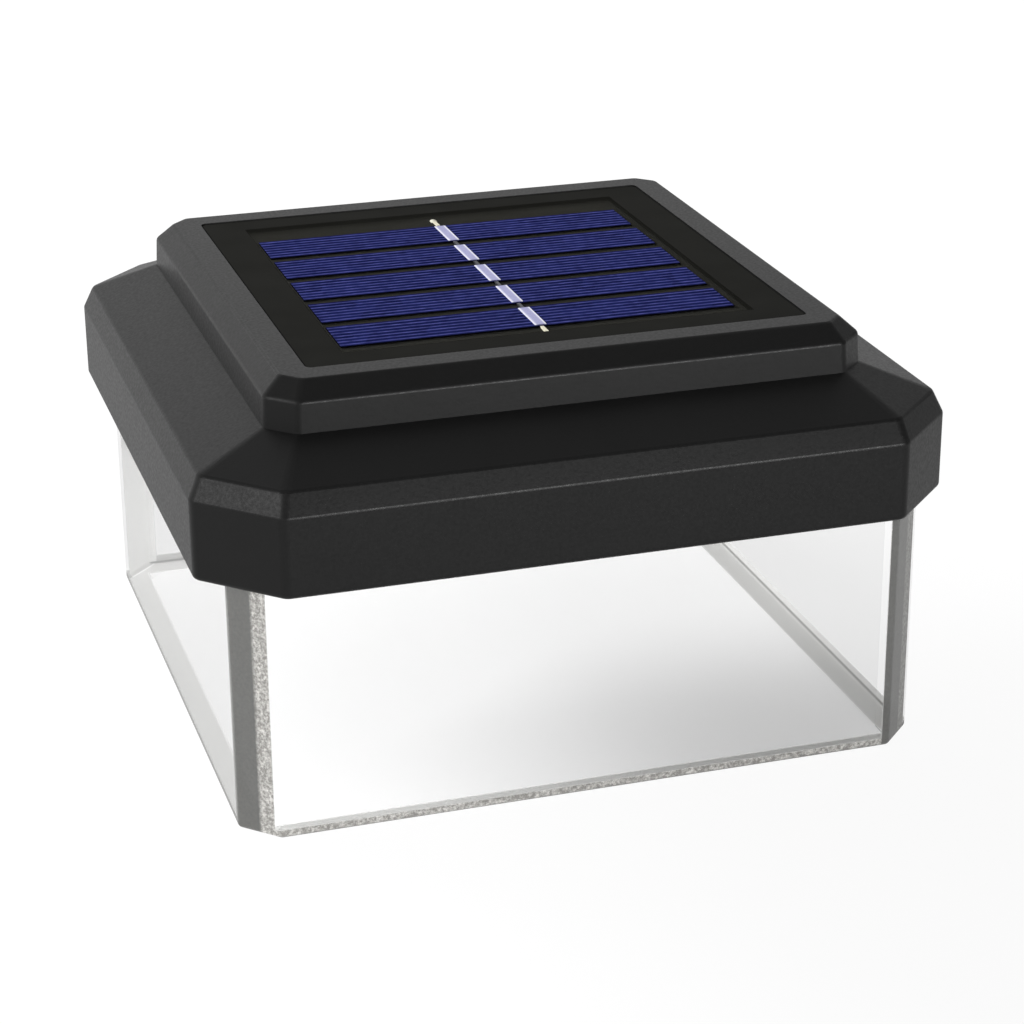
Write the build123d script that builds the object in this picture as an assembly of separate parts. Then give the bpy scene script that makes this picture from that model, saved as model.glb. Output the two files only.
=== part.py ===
"""Solar post cap light: black cap with a solar panel, clear edge-lit skirt that slips over a square post.

Millimetres, +Z up. The origin is the centre of the skirt's bottom rim, the front face looks along -Y.
"""
import os
from math import cos, pi, sin, sqrt

from build123d import *

# Skirt
POST_GAP = 2.35              # room between the skirt and an 88.9 mm post, each side
SKIRT_WALL = 4.0
SKIRT_CAP_GAP = 2.0          # room between skirt and cap wall
SKIRT_CORNER = 5.0           # leg of the 45 degree corner
SKIRT_DROP = 37.7            # height of skirt below the cap
SKIRT_REACH = 6.9            # height of skirt inside the cap
SKIRT_EDGE_ROUND = 1.0       # rounding of the upright corner edges
SKIRT_RIM_ROUND = 0.7        # rounding of the bottom outer edge
FLANGE_THICK = 2.5
FLANGE_WIDTH = 6.3           # from the inner wall face to the opening
FLANGE_CORNER = 8.0          # leg of the opening's corners

# Cap moulding
CAP_WIDTH = 110.0
CAP_CORNER = 10.4            # leg of the band's 45 degree corners
CAP_WALL = 2.2
BAND_HEIGHT = 11.6
BEVEL_RISE = 3.3
BEVEL_RUN = 1.5
BEVEL_CORNER = 9.6
ROOF_RISE = 4.0
ROOF_RUN = 9.9
ROOF_CORNER = 3.9
PLINTH_HEIGHT = 4.4
PLINTH_DRAFT = 0.2
RIM_BEVEL_RISE = 2.4
RIM_BEVEL_RUN = 2.6
RIM_WIDTH = 4.1              # flat frame round the panel
RIM_CORNER = 2.6
BAND_EDGE_ROUND = 2.0        # upright edges of band and roof
PLINTH_EDGE_ROUND = 1.4      # upright edges of the plinth
CAP_RIDGE_ROUND = 0.8        # outside edges that run round the cap
BOSS_RADIUS = 3.5
BOSS_INSET = 4.25            # screw line, inwards from the tray's upright sides
RIB_LENGTH = 8.0
RIB_THICK = 3.0

# Solar panel
PANEL_GAP = 0.2              # room round the panel in its recess
PANEL_ROUND = 0.8
RECESS_DEPTH = 2.8
RECESS_FLOOR = 2.0
PANEL_SUNK = 0.15            # top of the cover below the rim
SEAL_THICK = 0.4
SEAL_INSET = 6.5             # edge of the seal, inwards from the panel's
PANEL_BOARD_THICK = 1.2
CELL_COUNT = 5
CELL_GAP = 2.2               # between strips
CELL_THICK = 0.25
CELL_SIDE_MARGIN = 7.1       # panel border at the strips' ends
CELL_END_MARGIN = 9.8        # panel border beyond the first and the last strip
BUSBAR_WIDTH = 1.7
BUSBAR_INSET = 0.4           # end of a busbar, inwards from the strip's edge
BUSBAR_THICK = 0.1
RIBBON_WIDTH = 0.5
END_TAB_LENGTH = 3.6
COVER_AIR = 0.1              # room between busbars and cover
COVER_LIP = 1.5              # width of the cover's lip, which stands on the board

# Tray that closes the cap
TRAY_THICK = 2.5
TRAY_GAP = 0.3               # room between tray and skirt
GASKET_THICK = 0.8
GASKET_INSET = 0.4
PAD_SIZE = 16.0
PAD_THICK = 1.0
PAD_INSET = 14.45            # middle of a pad, inwards from the post's sides

# Screws
SCREW_RADIUS = 1.25
SCREW_HEAD_RADIUS = 2.5
SCREW_HEAD_HEIGHT = 1.4
SCREW_LENGTH = 12.0
SCREW_ROOM = 0.15
PILOT_EXTRA = 1.0            # pilot hole beyond the screw's tip
DRIVE_SLOT = 0.6
DRIVE_REACH = 1.5
DRIVE_DEPTH = 0.7

# Battery, an AA cell
CELL_BODY_RADIUS = 6.85
CELL_BODY_LENGTH = 48.5
CELL_NUB_RADIUS = 2.7
CELL_NUB_LENGTH = 1.4
SLEEVE_THICK = 0.2
SLEEVE_ROOM = 0.05
SPRING_ROOM = 4.7            # length of the spring as fitted
SPRING_RADIUS = 3.0          # to the middle of the wire
SPRING_WIRE = 0.35
SPRING_TURNS = 3
SPRING_SEAT = 0.05
CONTACT_THICK = 0.4
CONTACT_WIDTH = 11.0
CONTACT_HEIGHT = 11.0
TAIL_WIDTH = 3.0
TAIL_RISE = 1.2              # tail above the bay
BAY_SIDE_ROOM = 0.4
BAY_TOP_ROOM = 0.3
BAY_WALL = 1.5
SLOT_ROOM = 0.2

# Battery door
DOOR_THICK = 1.6
DOOR_EDGE = 2.0              # door beyond the bay's opening
DOOR_ROOM = 0.3
DOOR_SEAT = 0.1              # room above the closed door
HINGE_RADIUS = 1.3
HINGE_PIN_RADIUS = 0.7
HINGE_PIN_LENGTH = 2.0
HINGE_PIN_ROOM = 0.06
HINGE_SWING_ROOM = 0.5
HINGE_COVER = 1.0
NOTCH_RADIUS = 5.0
NOTCH_DEPTH = 1.4

# Driver board and switch
BOARD_LENGTH = 36.0
BOARD_WIDTH = 22.0
BOARD_THICK = 1.2
BOARD_CLEAR = 4.2            # height of board above the tray
STANDOFF_RADIUS = 2.2
STANDOFF_INSET = 2.6
BOARD_SCREW_RADIUS = 0.9
BOARD_SCREW_HEAD = 1.8
BOARD_SCREW_HEAD_HEIGHT = 1.2
BOARD_SCREW_LENGTH = 4.0
BOARD_SCREW_ROOM = 0.1
CHIP_SIZE = (4.9, 3.9, 1.5)
CHIP_AT = (0.0, 5.5)
CHIP_LEG = (0.5, 0.9, 0.6)
CHIP_LEG_PITCH = 1.27
CHIP_LEGS = 4
INDUCTOR_RADIUS = 3.2
INDUCTOR_HEIGHT = 4.6
INDUCTOR_WAIST = 0.7
INDUCTOR_FLANGE = 0.9
INDUCTOR_AT = (8.5, 4.5)
CAPACITOR_RADIUS = 2.5
CAPACITOR_HEIGHT = 7.0
CAPACITOR_CRIMP = 0.3
CAPACITOR_AT = (9.0, -3.8)
SWITCH_SIZE = (8.6, 4.4, 4.0)
SWITCH_WALL = 0.6
SWITCH_TRAVEL = 2.0
SLIDER_CARRIAGE = (3.4, 2.2, 0.8)
SLIDER_STEM = (2.0, 1.6)
SLIDER_ROOM = 0.2
SLIDER_SUNK = 0.3            # tip of the slider above the tray's underside
FINGER_RECESS = (14.0, 8.0, 1.2)
FINGER_ROUND = 2.0

# Lamp board
LED_BOARD_THICK = 1.2
LED_BOARD_GAP = 0.8          # room between board and cap
LED_BOARD_INSET = 1.0        # board edge back from the flange opening
LED_SIZE = (3.0, 1.4, 0.8)
LED_ROOM = 0.3
LED_OFFSETS = (-22.0, 22.0)  # along each side of the skirt
BOSS_ROOM = 0.6

# Leads
LEAD_RADIUS = 0.6
LEAD_BEND = 2.0
LEAD_HOLE = (9.0, 4.0)
LEAD_RISE = 5.0              # last bend above the driver board
SOLAR_LEAD_X = 2.5
SOLAR_LEAD_DROP = 2.5        # straight run below the recess floor
SOLAR_LEAD_SHIFT = (5.0, 1.0)
BATTERY_LEAD_LIFT = 0.25     # room between lead and bay
BATTERY_LEAD_RUN = 6.0       # straight run from the contact
BATTERY_LEAD_X = 12.5
BATTERY_LEAD_OUT = 5.5       # bend beyond the bay's side
BATTERY_LEAD_FRONT = 5.5     # landing, forwards from the board's middle
LED_LEAD_X = 6.0
LED_LEAD_PITCH = 3.0
LED_LEAD_INSET = 2.0         # landing, inwards from the driver board's edge
LED_LEAD_REACH = 3.0         # landing, outwards from the lamp board's edge
LED_LEAD_RISES = (3.0, 5.5, 3.5)

# Heights, from the skirt's rim upwards
CAP_LOW = SKIRT_DROP
SKIRT_TOP = SKIRT_DROP + SKIRT_REACH
FLANGE_LOW = SKIRT_TOP - FLANGE_THICK
TRAY_TOP = FLANGE_LOW - GASKET_THICK
TRAY_LOW = TRAY_TOP - TRAY_THICK
BAND_TOP = CAP_LOW + BAND_HEIGHT
BEVEL_TOP = BAND_TOP + BEVEL_RISE
ROOF_TOP = BEVEL_TOP + ROOF_RISE
PLINTH_TOP = ROOF_TOP + PLINTH_HEIGHT
CAP_TOP = PLINTH_TOP + RIM_BEVEL_RISE
FLOOR_TOP = CAP_TOP - RECESS_DEPTH
FLOOR_LOW = FLOOR_TOP - RECESS_FLOOR
PANEL_LOW = FLOOR_TOP + SEAL_THICK
CELLS_LOW = PANEL_LOW + PANEL_BOARD_THICK
BUSBARS_LOW = CELLS_LOW + CELL_THICK
COVER_LOW = BUSBARS_LOW + BUSBAR_THICK + COVER_AIR
COVER_TOP = CAP_TOP - PANEL_SUNK
LED_BOARD_TOP = SKIRT_TOP + LED_BOARD_THICK
BOARD_LOW = TRAY_TOP + BOARD_CLEAR
BOARD_TOP = BOARD_LOW + BOARD_THICK
DOOR_TOP = TRAY_LOW + DOOR_THICK
HINGE_Z = TRAY_LOW + HINGE_RADIUS
SLEEVE_RADIUS = CELL_BODY_RADIUS + SLEEVE_ROOM + SLEEVE_THICK
CELL_AXIS_Z = DOOR_TOP + BAY_TOP_ROOM + SLEEVE_RADIUS
BAY_CEILING = CELL_AXIS_Z + SLEEVE_RADIUS + BAY_TOP_ROOM
BAY_TOP = BAY_CEILING + BAY_WALL

# Half widths
CORNER_SHRINK = 2 - sqrt(2)  # how much a 45 degree corner's leg shrinks for each unit of inward offset
CAP_HALF = CAP_WIDTH / 2
SKIRT_OUTER = CAP_HALF - CAP_WALL - SKIRT_CAP_GAP
SKIRT_INNER = SKIRT_OUTER - SKIRT_WALL
SKIRT_INNER_CORNER = SKIRT_CORNER - CORNER_SHRINK * SKIRT_WALL
SKIRT_REACH_CORNER = CAP_CORNER - CORNER_SHRINK * (CAP_WALL + SKIRT_CAP_GAP)
POST_HALF = SKIRT_INNER - POST_GAP
FLANGE_OPENING = SKIRT_INNER - FLANGE_WIDTH
TRAY_HALF = SKIRT_INNER - TRAY_GAP
SCREW_AT = SKIRT_INNER - SKIRT_INNER_CORNER / 2 - BOSS_INSET
BEVEL_HALF = CAP_HALF - BEVEL_RUN
ROOF_HALF = BEVEL_HALF - ROOF_RUN
PLINTH_HALF = ROOF_HALF - PLINTH_DRAFT
RIM_HALF = PLINTH_HALF - RIM_BEVEL_RUN
PANEL_WIDTH = 2 * (RIM_HALF - RIM_WIDTH - PANEL_GAP)
CELL_LENGTH = PANEL_WIDTH - 2 * CELL_SIDE_MARGIN
CELL_PITCH = (PANEL_WIDTH - 2 * CELL_END_MARGIN + CELL_GAP) / CELL_COUNT
CELL_WIDTH = CELL_PITCH - CELL_GAP
BAY_HALF_LENGTH = (CELL_BODY_LENGTH + CELL_NUB_LENGTH + SPRING_ROOM) / 2 + CONTACT_THICK
BAY_HALF_WIDTH = SLEEVE_RADIUS + BAY_SIDE_ROOM
DOOR_HALF_LENGTH = BAY_HALF_LENGTH + DOOR_EDGE
DOOR_FREE_Y = BAY_HALF_WIDTH + DOOR_EDGE
HINGE_Y = -(BAY_HALF_WIDTH + BAY_WALL + HINGE_RADIUS + DOOR_SEAT + DOOR_ROOM)
BOARD_Y = (BAY_HALF_WIDTH + BAY_WALL + FLANGE_OPENING) / 2
SWITCH_LOW = BOARD_LOW - SWITCH_SIZE[2]

CORNERS = [(sx, sy) for sx in (-1, 1) for sy in (-1, 1)]


def octagon(half, leg, z, rounding=0.0):
    """Square outline with 45 degree corners, at height z."""
    inner = half - leg
    points = [(half, -inner), (half, inner), (inner, half), (-inner, half),
              (-half, inner), (-half, -inner), (-inner, -half), (inner, -half)]
    face = make_face(Polyline(*points, close=True))
    if rounding:
        face = fillet(face.vertices(), rounding)
    return Pos(0, 0, z) * face


def prism(half, leg, low, high, rounding=0.0):
    return extrude(octagon(half, leg, low, rounding), high - low)


def block(x, y, z):
    """Box between two limits on each axis."""
    middle = [(low + high) / 2 for low, high in (x, y, z)]
    return Pos(*middle) * Box(x[1] - x[0], y[1] - y[0], z[1] - z[0])


def plate(width, depth, low, high, at=(0.0, 0.0), rounding=0.0):
    """Upright rectangle block, with rounded upright edges where asked."""
    outline = RectangleRounded(width, depth, rounding) if rounding else Rectangle(width, depth)
    return extrude(Pos(at[0], at[1], low) * outline, high - low)


def disc(radius, low, high, at=(0.0, 0.0)):
    return extrude(Pos(at[0], at[1], low) * Circle(radius), high - low)


def rod_x(radius, x_low, x_high, y, z):
    """Cylinder along X."""
    return extrude(Plane((x_low, y, z), z_dir=(1, 0, 0)) * Circle(radius), x_high - x_low)


def edges_at(shape, z):
    """Edges that lie flat at height z."""
    near = 1e-4
    return [e for e in shape.edges() if all(abs(p.Z - z) < near for p in (e @ 0, e @ 0.5, e @ 1))]


# Cap moulding
def cap_outside():
    levels = [(CAP_HALF, CAP_CORNER, CAP_LOW, BAND_EDGE_ROUND),
              (CAP_HALF, CAP_CORNER, BAND_TOP, BAND_EDGE_ROUND),
              (BEVEL_HALF, BEVEL_CORNER, BEVEL_TOP, BAND_EDGE_ROUND),
              (ROOF_HALF, ROOF_CORNER, ROOF_TOP, PLINTH_EDGE_ROUND),
              (PLINTH_HALF, ROOF_CORNER, PLINTH_TOP, PLINTH_EDGE_ROUND),
              (RIM_HALF, RIM_CORNER, CAP_TOP, PLINTH_EDGE_ROUND)]
    return loft([octagon(*level) for level in levels], ruled=True)


def cap_inside():
    band_corner = CAP_CORNER - CORNER_SHRINK * CAP_WALL
    plinth_corner = ROOF_CORNER - CORNER_SHRINK * CAP_WALL
    levels = [(CAP_HALF - CAP_WALL, band_corner, CAP_LOW),
              (CAP_HALF - CAP_WALL, band_corner, BEVEL_TOP - CAP_WALL),
              (ROOF_HALF - CAP_WALL, plinth_corner, ROOF_TOP - CAP_WALL),
              (PLINTH_HALF - CAP_WALL, plinth_corner, FLOOR_LOW)]
    return loft([octagon(*level) for level in levels], ruled=True)


def make_top_cap():
    outside = cap_outside()
    ridges = []
    for z in (CAP_LOW, BAND_TOP, BEVEL_TOP, PLINTH_TOP, CAP_TOP):
        ridges += edges_at(outside, z)
    outside = fillet(ridges, CAP_RIDGE_ROUND)
    shell = outside - cap_inside()
    bosses = [disc(BOSS_RADIUS, SKIRT_TOP, PLINTH_TOP, (sx * SCREW_AT, sy * SCREW_AT)) for sx, sy in CORNERS]
    rib_at = SKIRT_OUTER - SKIRT_WALL / 2
    ribs = []
    for turn in range(4):
        rib = plate(RIB_THICK, RIB_LENGTH, LED_BOARD_TOP, ROOF_TOP, (rib_at, 0))
        ribs.append(Rot(0, 0, 90 * turn) * rib)
    for stay in bosses + ribs:
        shell += stay & outside
    pilot_top = TRAY_LOW + SCREW_LENGTH + PILOT_EXTRA
    for sx, sy in CORNERS:
        shell -= disc(SCREW_RADIUS + SCREW_ROOM, SKIRT_TOP, pilot_top, (sx * SCREW_AT, sy * SCREW_AT))
    recess = PANEL_WIDTH + 2 * PANEL_GAP
    shell -= plate(recess, recess, FLOOR_TOP, CAP_TOP, rounding=PANEL_ROUND + PANEL_GAP)
    shell -= plate(*LEAD_HOLE, FLOOR_LOW, FLOOR_TOP, (0, BOARD_Y))
    return shell


# Skirt, the light guide
def led_places():
    """Middle of each lamp on the skirt's top edge, with the turn of its side."""
    line = SKIRT_OUTER - SKIRT_WALL / 2
    return [Rot(0, 0, 90 * turn) * Pos(line, along, 0) for turn in range(4) for along in LED_OFFSETS]


def make_skirt():
    """Lower part below the cap, and an upper part whose corners are cut back to clear the cap's corners."""
    outside = prism(SKIRT_OUTER, SKIRT_CORNER, 0, CAP_LOW, SKIRT_EDGE_ROUND)
    outside = fillet(edges_at(outside, 0), SKIRT_RIM_ROUND)
    outside += prism(SKIRT_OUTER, SKIRT_REACH_CORNER, CAP_LOW, SKIRT_TOP, SKIRT_EDGE_ROUND)
    skirt = outside - prism(SKIRT_INNER, SKIRT_INNER_CORNER, 0, FLANGE_LOW)
    skirt -= prism(FLANGE_OPENING, FLANGE_CORNER, FLANGE_LOW, SKIRT_TOP)
    pocket_low = SKIRT_TOP - LED_SIZE[2] - LED_ROOM
    for place in led_places():
        skirt -= place * plate(LED_SIZE[1] + 2 * LED_ROOM, LED_SIZE[0] + 2 * LED_ROOM, pocket_low, SKIRT_TOP)
    for sx, sy in CORNERS:
        skirt -= disc(SCREW_RADIUS + SCREW_ROOM, FLANGE_LOW, SKIRT_TOP, (sx * SCREW_AT, sy * SCREW_AT))
    return skirt


def make_led_board():
    band_corner = CAP_CORNER - CORNER_SHRINK * (CAP_WALL + LED_BOARD_GAP)
    board = prism(CAP_HALF - CAP_WALL - LED_BOARD_GAP, band_corner, SKIRT_TOP, LED_BOARD_TOP)
    board -= prism(FLANGE_OPENING + LED_BOARD_INSET, FLANGE_CORNER, SKIRT_TOP, LED_BOARD_TOP)
    for sx, sy in CORNERS:
        board -= disc(BOSS_RADIUS + BOSS_ROOM, SKIRT_TOP, LED_BOARD_TOP, (sx * SCREW_AT, sy * SCREW_AT))
    return board


def make_side_leds():
    lamp = plate(LED_SIZE[1], LED_SIZE[0], SKIRT_TOP - LED_SIZE[2], SKIRT_TOP)
    return Compound(children=[place * lamp for place in led_places()])


# Solar panel
def cell_y(index):
    """Middle of a strip, the first at the back."""
    return ((CELL_COUNT - 1) / 2 - index) * CELL_PITCH


def make_panel_seal():
    width = PANEL_WIDTH - 2 * SEAL_INSET
    pad = plate(width, width, FLOOR_TOP, PANEL_LOW, rounding=PANEL_ROUND)
    return pad - plate(*LEAD_HOLE, FLOOR_TOP, PANEL_LOW, (0, BOARD_Y))


def make_panel_board():
    return plate(PANEL_WIDTH, PANEL_WIDTH, PANEL_LOW, CELLS_LOW, rounding=PANEL_ROUND)


def make_solar_cell(index):
    return plate(CELL_LENGTH, CELL_WIDTH, CELLS_LOW, BUSBARS_LOW, (0, cell_y(index)))


def make_cell_busbars():
    length = CELL_WIDTH - 2 * BUSBAR_INSET
    bars = [plate(BUSBAR_WIDTH, length, BUSBARS_LOW, BUSBARS_LOW + BUSBAR_THICK, (0, cell_y(i)))
            for i in range(CELL_COUNT)]
    return Compound(children=bars)


def make_cell_ribbons():
    """Links in the gaps between strips, and a tab beyond the first and the last strip."""
    link_y = [cell_y(i) - CELL_PITCH / 2 for i in range(CELL_COUNT - 1)]
    links = [plate(RIBBON_WIDTH, CELL_GAP, CELLS_LOW, BUSBARS_LOW, (0, y)) for y in link_y]
    field_end = cell_y(0) + CELL_WIDTH / 2
    tab_y = field_end + END_TAB_LENGTH / 2
    tabs = [plate(RIBBON_WIDTH, END_TAB_LENGTH, CELLS_LOW, BUSBARS_LOW, (0, s * tab_y)) for s in (1, -1)]
    return Compound(children=links + tabs)


def make_panel_cover():
    cover = plate(PANEL_WIDTH, PANEL_WIDTH, CELLS_LOW, COVER_TOP, rounding=PANEL_ROUND)
    hollow = PANEL_WIDTH - 2 * COVER_LIP
    return cover - plate(hollow, hollow, CELLS_LOW, COVER_LOW)


# Tray
def hinge_channel():
    """Room for the door's hinge barrel, and the blind holes for its pins."""
    half = DOOR_HALF_LENGTH + DOOR_ROOM
    y = (HINGE_Y - HINGE_RADIUS - HINGE_SWING_ROOM, HINGE_Y + HINGE_RADIUS + DOOR_ROOM)
    channel = block((-half, half), y, (TRAY_LOW, HINGE_Z + HINGE_RADIUS + DOOR_ROOM))
    reach = half + HINGE_PIN_LENGTH
    return channel + rod_x(HINGE_PIN_RADIUS + HINGE_PIN_ROOM, -reach, reach, HINGE_Y, HINGE_Z)


def standoff_places():
    dx = BOARD_LENGTH / 2 - STANDOFF_INSET
    dy = BOARD_WIDTH / 2 - STANDOFF_INSET
    return [(sx * dx, BOARD_Y + sy * dy) for sx, sy in CORNERS]


def make_base_tray():
    corner = SKIRT_INNER_CORNER - CORNER_SHRINK * TRAY_GAP
    tray = prism(TRAY_HALF, corner, TRAY_LOW, TRAY_TOP)
    bay_x = BAY_HALF_LENGTH + BAY_WALL
    bay_y = BAY_HALF_WIDTH + BAY_WALL
    tray += block((-bay_x, bay_x), (-bay_y, bay_y), (TRAY_LOW, BAY_TOP))
    cover_half = DOOR_HALF_LENGTH + DOOR_ROOM + HINGE_PIN_LENGTH + HINGE_COVER
    cover_y = (HINGE_Y - HINGE_RADIUS - HINGE_SWING_ROOM - HINGE_COVER, -BAY_HALF_WIDTH)
    cover_top = HINGE_Z + HINGE_RADIUS + DOOR_ROOM + HINGE_COVER
    tray += block((-cover_half, cover_half), cover_y, (TRAY_LOW, cover_top))
    for place in standoff_places():
        tray += disc(STANDOFF_RADIUS, TRAY_TOP, BOARD_LOW, place)
        pilot_low = BOARD_TOP - BOARD_SCREW_LENGTH - BOARD_SCREW_ROOM
        tray -= disc(BOARD_SCREW_RADIUS + BOARD_SCREW_ROOM, pilot_low, BOARD_LOW, place)
    inside_x = (-BAY_HALF_LENGTH, BAY_HALF_LENGTH)
    inside_y = (-BAY_HALF_WIDTH, BAY_HALF_WIDTH)
    tray -= block(inside_x, inside_y, (TRAY_LOW, BAY_CEILING))
    door_x = (-DOOR_HALF_LENGTH - DOOR_ROOM, DOOR_HALF_LENGTH + DOOR_ROOM)
    tray -= block(door_x, (HINGE_Y, DOOR_FREE_Y + DOOR_ROOM), (TRAY_LOW, DOOR_TOP + DOOR_SEAT))
    tray -= hinge_channel()
    tray -= disc(NOTCH_RADIUS, TRAY_LOW, TRAY_LOW + NOTCH_DEPTH, (0, DOOR_FREE_Y + DOOR_ROOM))
    tail = TAIL_WIDTH / 2 + SLOT_ROOM
    for x in ((BAY_HALF_LENGTH - CONTACT_THICK - SLOT_ROOM, BAY_HALF_LENGTH),
              (-BAY_HALF_LENGTH, -BAY_HALF_LENGTH + CONTACT_THICK + SLOT_ROOM)):
        tray -= block(x, (-tail, tail), (BAY_CEILING, BAY_TOP))
    finger_length, finger_width, finger_depth = FINGER_RECESS
    tray -= plate(finger_length, finger_width, TRAY_LOW, TRAY_LOW + finger_depth, (0, BOARD_Y), FINGER_ROUND)
    slot = (SLIDER_STEM[0] + SWITCH_TRAVEL + 2 * SLIDER_ROOM, SLIDER_STEM[1] + 2 * SLIDER_ROOM)
    tray -= plate(*slot, TRAY_LOW, TRAY_TOP, (0, BOARD_Y))
    for sx, sy in CORNERS:
        tray -= screw_form(SCREW_ROOM, TRAY_TOP, (sx * SCREW_AT, sy * SCREW_AT))
    return tray


def screw_form(room, top, at):
    """Countersunk screw, or its hole when room is more than nothing."""
    head = SCREW_HEAD_RADIUS + room
    shank = SCREW_RADIUS + room
    cone = loft([Pos(*at, TRAY_LOW) * Circle(head), Pos(*at, TRAY_LOW + SCREW_HEAD_HEIGHT) * Circle(shank)])
    return cone + disc(shank, TRAY_LOW, top, at)


def make_tray_screws():
    screws = []
    for sx, sy in CORNERS:
        at = (sx * SCREW_AT, sy * SCREW_AT)
        screw = screw_form(0.0, TRAY_LOW + SCREW_LENGTH, at)
        for bar in ((2 * DRIVE_REACH, DRIVE_SLOT), (DRIVE_SLOT, 2 * DRIVE_REACH)):
            screw -= plate(*bar, TRAY_LOW, TRAY_LOW + DRIVE_DEPTH, at)
        screws.append(screw)
    return Compound(children=screws)


def make_tray_gasket():
    corner = SKIRT_INNER_CORNER - CORNER_SHRINK * (TRAY_GAP + GASKET_INSET)
    ring = prism(TRAY_HALF - GASKET_INSET, corner, TRAY_TOP, FLANGE_LOW)
    ring -= prism(FLANGE_OPENING + GASKET_INSET, FLANGE_CORNER, TRAY_TOP, FLANGE_LOW)
    for sx, sy in CORNERS:
        ring -= disc(SCREW_RADIUS + SCREW_ROOM, TRAY_TOP, FLANGE_LOW, (sx * SCREW_AT, sy * SCREW_AT))
    return ring


def make_post_pads():
    at = POST_HALF - PAD_INSET
    pad = plate(PAD_SIZE, PAD_SIZE, TRAY_LOW - PAD_THICK, TRAY_LOW)
    return Compound(children=[Pos(sx * at, sy * at, 0) * pad for sx, sy in CORNERS])


# Battery and its contacts, the plus end towards +X
PLUS_FACE = BAY_HALF_LENGTH - CONTACT_THICK
CELL_PLUS = PLUS_FACE - CELL_NUB_LENGTH
CELL_MINUS = CELL_PLUS - CELL_BODY_LENGTH


def make_battery_cell():
    can = rod_x(CELL_BODY_RADIUS, CELL_MINUS, CELL_PLUS, 0, CELL_AXIS_Z)
    return can + rod_x(CELL_NUB_RADIUS, CELL_PLUS, PLUS_FACE, 0, CELL_AXIS_Z)


def make_battery_sleeve():
    tube = rod_x(SLEEVE_RADIUS, CELL_MINUS, CELL_PLUS, 0, CELL_AXIS_Z)
    return tube - rod_x(CELL_BODY_RADIUS + SLEEVE_ROOM, CELL_MINUS, CELL_PLUS, 0, CELL_AXIS_Z)


def make_contact(side):
    """Sheet contact against the bay's end wall, with its solder tail up through the bay's ceiling."""
    ends = sorted((side * PLUS_FACE, side * BAY_HALF_LENGTH))
    low, high = CELL_AXIS_Z - CONTACT_HEIGHT / 2, CELL_AXIS_Z + CONTACT_HEIGHT / 2
    sheet = block(ends, (-CONTACT_WIDTH / 2, CONTACT_WIDTH / 2), (low, high))
    return sheet + block(ends, (-TAIL_WIDTH / 2, TAIL_WIDTH / 2), (high, BAY_TOP + TAIL_RISE))


def spring_point(turn):
    """Point on the middle line of the battery spring, with the direction there."""
    start = -PLUS_FACE + SPRING_WIRE + SPRING_SEAT
    rise = (SPRING_ROOM - 2 * (SPRING_WIRE + SPRING_SEAT)) / SPRING_TURNS
    angle = 2 * pi * turn
    point = Vector(start + rise * turn, SPRING_RADIUS * cos(angle), CELL_AXIS_Z + SPRING_RADIUS * sin(angle))
    along = Vector(rise / (2 * pi), -SPRING_RADIUS * sin(angle), SPRING_RADIUS * cos(angle))
    return point, along.normalized()


def biarc(start, start_way, end, end_way):
    """Two arcs that leave start and reach end in the given directions."""
    chord = end - start
    both = start_way + end_way
    square = 2 * (1 - start_way.dot(end_way))
    linear = chord.dot(both)
    reach = (sqrt(linear * linear + square * chord.dot(chord)) - linear) / square
    middle = (start + start_way * reach + end - end_way * reach) / 2
    first = Edge.make_tangent_arc(start, start_way, middle)
    return [first, Edge.make_tangent_arc(middle, first.tangent_at(1), end)]


def make_battery_spring():
    arcs = []
    quarters = 4 * SPRING_TURNS
    for quarter in range(quarters):
        arcs += biarc(*spring_point(quarter / 4), *spring_point((quarter + 1) / 4))
    start, way = spring_point(0)
    turn_gap = (SPRING_ROOM - 2 * (SPRING_WIRE + SPRING_SEAT)) / SPRING_TURNS - 2 * SPRING_WIRE
    print(f"battery_spring: least gap between turns {turn_gap:.2f} mm")
    return sweep(Plane(start, z_dir=way) * Circle(SPRING_WIRE), path=Wire(arcs))


# Battery door
def make_battery_door():
    half = DOOR_HALF_LENGTH
    door = block((-half, half), (HINGE_Y, DOOR_FREE_Y), (TRAY_LOW, DOOR_TOP))
    door += rod_x(HINGE_RADIUS, -half, half, HINGE_Y, HINGE_Z)
    reach = half + HINGE_PIN_LENGTH
    return door + rod_x(HINGE_PIN_RADIUS, -reach, reach, HINGE_Y, HINGE_Z)


# Driver board and what is soldered to it
def on_board(at):
    return (at[0], BOARD_Y + at[1])


def make_driver_board():
    board = plate(BOARD_LENGTH, BOARD_WIDTH, BOARD_LOW, BOARD_TOP, (0, BOARD_Y))
    for place in standoff_places():
        board -= disc(BOARD_SCREW_RADIUS + BOARD_SCREW_ROOM, BOARD_LOW, BOARD_TOP, place)
    return board


def make_board_screws():
    screws = []
    for place in standoff_places():
        head = disc(BOARD_SCREW_HEAD, BOARD_TOP, BOARD_TOP + BOARD_SCREW_HEAD_HEIGHT, place)
        screws.append(head + disc(BOARD_SCREW_RADIUS, BOARD_TOP - BOARD_SCREW_LENGTH, BOARD_TOP, place))
    return Compound(children=screws)


def make_driver_chip():
    x, y = on_board(CHIP_AT)
    chip = plate(CHIP_SIZE[0], CHIP_SIZE[1], BOARD_TOP, BOARD_TOP + CHIP_SIZE[2], (x, y))
    row = (CHIP_SIZE[1] + CHIP_LEG[1]) / 2
    leg = plate(CHIP_LEG[0], CHIP_LEG[1], BOARD_TOP, BOARD_TOP + CHIP_LEG[2])
    for i in range(CHIP_LEGS):
        leg_x = x + (i - (CHIP_LEGS - 1) / 2) * CHIP_LEG_PITCH
        for side in (-1, 1):
            chip += Pos(leg_x, y + side * row, 0) * leg
    return chip


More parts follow.
